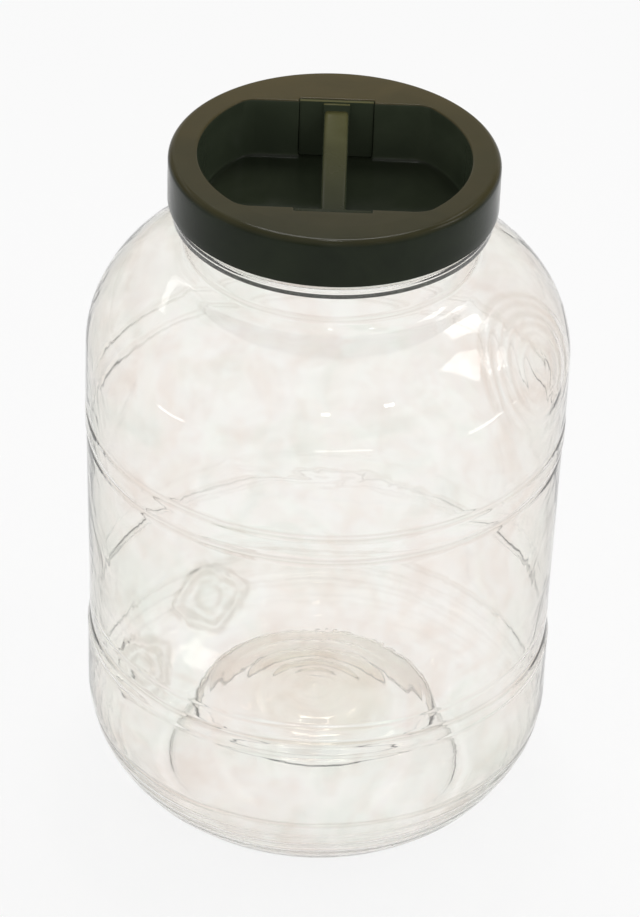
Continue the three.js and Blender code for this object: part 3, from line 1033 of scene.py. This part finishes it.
# Lamps: name, bearing from the back towards the right and height angle in degrees, then distance,
# width and height in metres, and power in watts
LAMPS = (
    ("front_lamp", 146, 40, 1.9, 0.14, 0.1, 0.5),
    ("front_spot", 179, 37, 1.9, 0.12, 0.08, 0.33),
    ("right_spot", 90, 26, 1.9, 0.1, 0.1, 0.35),
    ("top_lamp", 4, 84, 1.5, 0.07, 0.07, 1.7),
    ("right_window", 91, 39, 1.7, 0.42, 0.62, 2.1),
    ("back_left_window", -39, 38, 1.9, 0.9, 0.1, 0.4),
    ("back_lamp", 2, 64, 0.75, 0.3, 0.2, 1.3),
    ("back_right_window", 46, 50, 1.9, 0.5, 0.35, 1.3),
    ("low_front_strip", 172, 2, 1.9, 0.8, 0.06, 0.35),
    ("low_right_strip", 108, -5, 1.9, 0.5, 0.07, 0.35),
    ("low_left_strip", 252, -5, 1.9, 0.5, 0.07, 0.35),
    ("back_spot", -6, 47, 1.9, 0.05, 0.05, 0.45),
)
LAMP_AIM = 250

# Floor and surroundings. Glow is the share of plain white that a kind of ray sees.
FLOOR_REACH = 4000
FLOOR_COLOUR = (0.93, 0.93, 0.93, 1)
FLOOR_ROUGHNESS = 0.9
FLOOR_SHINE = 0.1
FLOOR_GLOW = 0.84
FLOOR_GLOSS_GLOW = 0.5
WHITE = (1, 1, 1, 1)
WORLD_LIGHT = 0.55
GLOSS_LIGHT = 0.85
STUDIO_NOISE = (2.4, 3)
STUDIO_TONES = ((0.4, "#9c938a"), (0.58, "#fffdfa"))


def make_camera():
    data = bpy.data.cameras.new("camera")
    data.sensor_fit = "AUTO"
    data.sensor_width = SENSOR
    data.lens = FOCAL_PIXELS * SENSOR / PICTURE_HEIGHT
    data.clip_start = NEAREST_SEEN * MM
    data.clip_end = FARTHEST_SEEN * MM
    camera = bpy.data.objects.new("camera", data)
    bpy.context.scene.collection.objects.link(camera)
    ahead = Vector((math.sin(CAMERA_PAN) * math.cos(CAMERA_PITCH),
                    math.cos(CAMERA_PAN) * math.cos(CAMERA_PITCH),
                    -math.sin(CAMERA_PITCH)))
    level = ahead.cross(Vector((0, 0, 1))).normalized()
    upright = level.cross(ahead)
    right = math.cos(CAMERA_ROLL) * level + math.sin(CAMERA_ROLL) * upright
    up = math.cos(CAMERA_ROLL) * upright - math.sin(CAMERA_ROLL) * level
    turn = Matrix((right, up, -ahead)).transposed().to_4x4()
    camera.matrix_world = Matrix.Translation(Vector(CAMERA_PLACE) * MM) @ turn
    bpy.context.scene.camera = camera


def make_lamp(name, bearing, height_angle, distance, width, tall, power):
    """A soft lamp on a sphere round the jar, turned towards LAMP_AIM on its axis."""
    data = bpy.data.lights.new(name, "AREA")
    data.shape = "RECTANGLE"
    data.size = width
    data.size_y = tall
    data.energy = power
    lamp = bpy.data.objects.new(name, data)
    bpy.context.scene.collection.objects.link(lamp)
    turn, lift = math.radians(bearing), math.radians(height_angle)
    way = Vector((math.sin(turn) * math.cos(lift), math.cos(turn) * math.cos(lift), math.sin(lift)))
    lamp.location = Vector((0, 0, LAMP_AIM * MM)) + distance * way
    lamp.rotation_mode = "QUATERNION"
    lamp.rotation_quaternion = way.to_track_quat("Z", "Y")
    lamp.visible_camera = False


def seen_by(tree, *rays):
    """1 for the named kinds of ray, 0 for the rest."""
    path = tree.nodes.new("ShaderNodeLightPath")
    value = path.outputs[rays[0]]
    for ray in rays[1:]:
        value = combined(tree, "MAXIMUM", value, path.outputs[ray])
    return value


def make_floor():
    """Pale floor, which keeps a soft shadow and shows near white to the camera."""
    bm = bmesh.new()
    signs = ((-1, -1), (1, -1), (1, 1), (-1, 1))
    bm.faces.new([bm.verts.new(Vector((x, y, 0)) * FLOOR_REACH * MM) for x, y in signs])
    mesh = bpy.data.meshes.new("floor")
    bm.to_mesh(mesh)
    bm.free()
    floor = bpy.data.objects.new("floor", mesh)
    bpy.context.scene.collection.objects.link(floor)
    material, tree, shader = new_material("pale_floor")
    shader.inputs["Base Color"].default_value = FLOOR_COLOUR
    shader.inputs["Roughness"].default_value = FLOOR_ROUGHNESS
    shader.inputs["Specular IOR Level"].default_value = FLOOR_SHINE
    glow = tree.nodes.new("ShaderNodeEmission")
    glow.inputs["Color"].default_value = WHITE
    shown = add_range(tree, seen_by(tree, "Is Camera Ray", "Is Transmission Ray"), 0, FLOOR_GLOW, (0, 1))
    mirrored = add_range(tree, seen_by(tree, "Is Glossy Ray"), 0, FLOOR_GLOSS_GLOW, (0, 1))
    surface = mix_shaders(tree, combined(tree, "MAXIMUM", shown, mirrored), shader.outputs["BSDF"],
                          glow.outputs["Emission"])
    tree.links.new(surface, tree.nodes["Material Output"].inputs["Surface"])
    mesh.materials.append(material)


def make_world():
    """White surroundings: a plain light, white where they are seen, and softly patched in gloss."""
    world = bpy.data.worlds.new("studio")
    bpy.context.scene.world = world
    world.use_nodes = True
    tree = world.node_tree
    plain = tree.nodes["Background"]
    plain.inputs["Color"].default_value = WHITE
    plain.inputs["Strength"].default_value = WORLD_LIGHT
    mirrored = tree.nodes.new("ShaderNodeBackground")
    tone = add_ramp(tree, add_noise(tree, *STUDIO_NOISE, space="Generated"), STUDIO_TONES)
    tree.links.new(tone, mirrored.inputs["Color"])
    mirrored.inputs["Strength"].default_value = GLOSS_LIGHT
    shown = tree.nodes.new("ShaderNodeBackground")
    shown.inputs["Color"].default_value = WHITE
    shown.inputs["Strength"].default_value = 1
    surface = mix_shaders(tree, seen_by(tree, "Is Glossy Ray"), plain.outputs["Background"],
                          mirrored.outputs["Background"])
    surface = mix_shaders(tree, seen_by(tree, "Is Camera Ray", "Is Transmission Ray"), surface,
                          shown.outputs["Background"])
    tree.links.new(surface, tree.nodes["World Output"].inputs["Surface"])


make_camera()
for lamp in LAMPS:
    make_lamp(*lamp)
make_floor()
make_world()
bpy.context.scene.view_settings.view_transform = "Standard"
